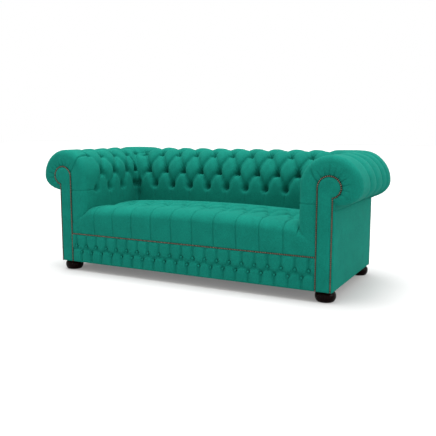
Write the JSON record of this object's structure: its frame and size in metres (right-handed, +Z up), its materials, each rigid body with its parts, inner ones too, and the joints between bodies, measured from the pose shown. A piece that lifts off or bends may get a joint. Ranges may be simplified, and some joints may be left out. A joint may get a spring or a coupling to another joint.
{
  "type": "chesterfield sofa",
  "caption": "Low tufted sofa with rolled arms and a rolled back of one height, a sewn tufted seat, padded scroll facings with nail trim, a buttoned front border and turned bun feet.",
  "frame": {"origin": "centre of the bounding box, on the floor that the feet stand on", "axes": "+X along the width, to the right of someone who looks at the front, +Y to the back, +Z up"},
  "size_m": [2.176, 0.983, 0.805],
  "materials": {
    "cover": "emerald green wool velvet with a short soft nap",
    "foot_wood": "near black mahogany, polished",
    "frame_wood": "planed hardwood, bare",
    "nail_metal": "antique brown brass, domed heads",
    "steel": "drawn wire and zinc plated bolts",
    "foam": "soft open-cell foam",
    "lining": "black woven lining cloth"
  },
  "bodies": {
    "root": {"front_rail": "frame_wood", "back_rail": "frame_wood", "left_side_rail": "frame_wood", "right_side_rail": "frame_wood", "centre_brace": "frame_wood", "left_front_post": "frame_wood", "right_front_post": "frame_wood", "left_back_post": "frame_wood", "right_back_post": "frame_wood", "left_roll_block": "frame_wood", "right_roll_block": "frame_wood", "left_arm_top_rail": "frame_wood", "right_arm_top_rail": "frame_wood", "back_top_rail": "frame_wood", "left_arm_tack_rail": "frame_wood", "right_arm_tack_rail": "frame_wood", "back_tack_rail": "frame_wood", "left_back_upright": "frame_wood", "right_back_upright": "frame_wood", "left_scroll_board": "frame_wood", "right_scroll_board": "frame_wood", "left_front_glue_block": "frame_wood", "right_front_glue_block": "frame_wood", "left_back_glue_block": "frame_wood", "right_back_glue_block": "frame_wood", "left_front_foot": "foot_wood", "right_front_foot": "foot_wood", "left_back_foot": "foot_wood", "right_back_foot": "foot_wood", "left_front_foot_bolt": "steel", "right_front_foot_bolt": "steel", "left_back_foot_bolt": "steel", "right_back_foot_bolt": "steel", "seat_spring_1": "steel", "seat_spring_2": "steel", "seat_spring_3": "steel", "seat_spring_4": "steel", "seat_spring_5": "steel", "seat_spring_6": "steel", "seat_spring_7": "steel", "seat_spring_8": "steel", "seat_spring_9": "steel", "spring_cloth": "lining", "seat_foam": "foam", "seat_pad": "cover", "back_pad": "cover", "left_arm_pad": "cover", "right_arm_pad": "cover", "front_border": "cover", "left_facing": "cover", "right_facing": "cover", "left_outside_arm_panel": "cover", "right_outside_arm_panel": "cover", "outside_back_panel": "cover", "left_facing_nail_trim": "nail_metal", "right_facing_nail_trim": "nail_metal", "border_nail_trim": "nail_metal", "dust_cover": "lining"}
  },
  "joints": []
}
